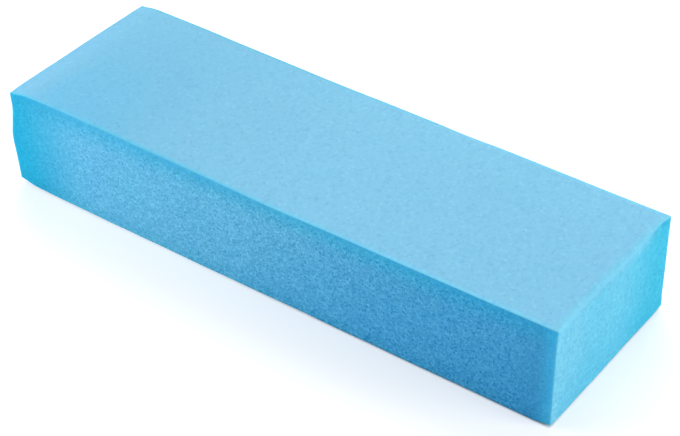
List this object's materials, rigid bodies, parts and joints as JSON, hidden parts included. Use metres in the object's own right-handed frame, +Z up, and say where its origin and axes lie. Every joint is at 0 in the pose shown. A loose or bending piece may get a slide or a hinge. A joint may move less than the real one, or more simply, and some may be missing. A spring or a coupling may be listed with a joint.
{
  "type": "foam block",
  "caption": "Long rectangular block of soft blue open-cell foam, knife-cut on all faces, lying flat.",
  "frame": {"origin": "middle of the underside, on the surface that the block lies on", "axes": "+X along the length towards the leaning end, +Y to the back long side, +Z up through the thickness"},
  "size_m": [0.3, 0.1, 0.052],
  "materials": {
    "open_cell_foam": null
  },
  "bodies": {
    "root": {"foam_block": "open_cell_foam"}
  },
  "joints": []
}
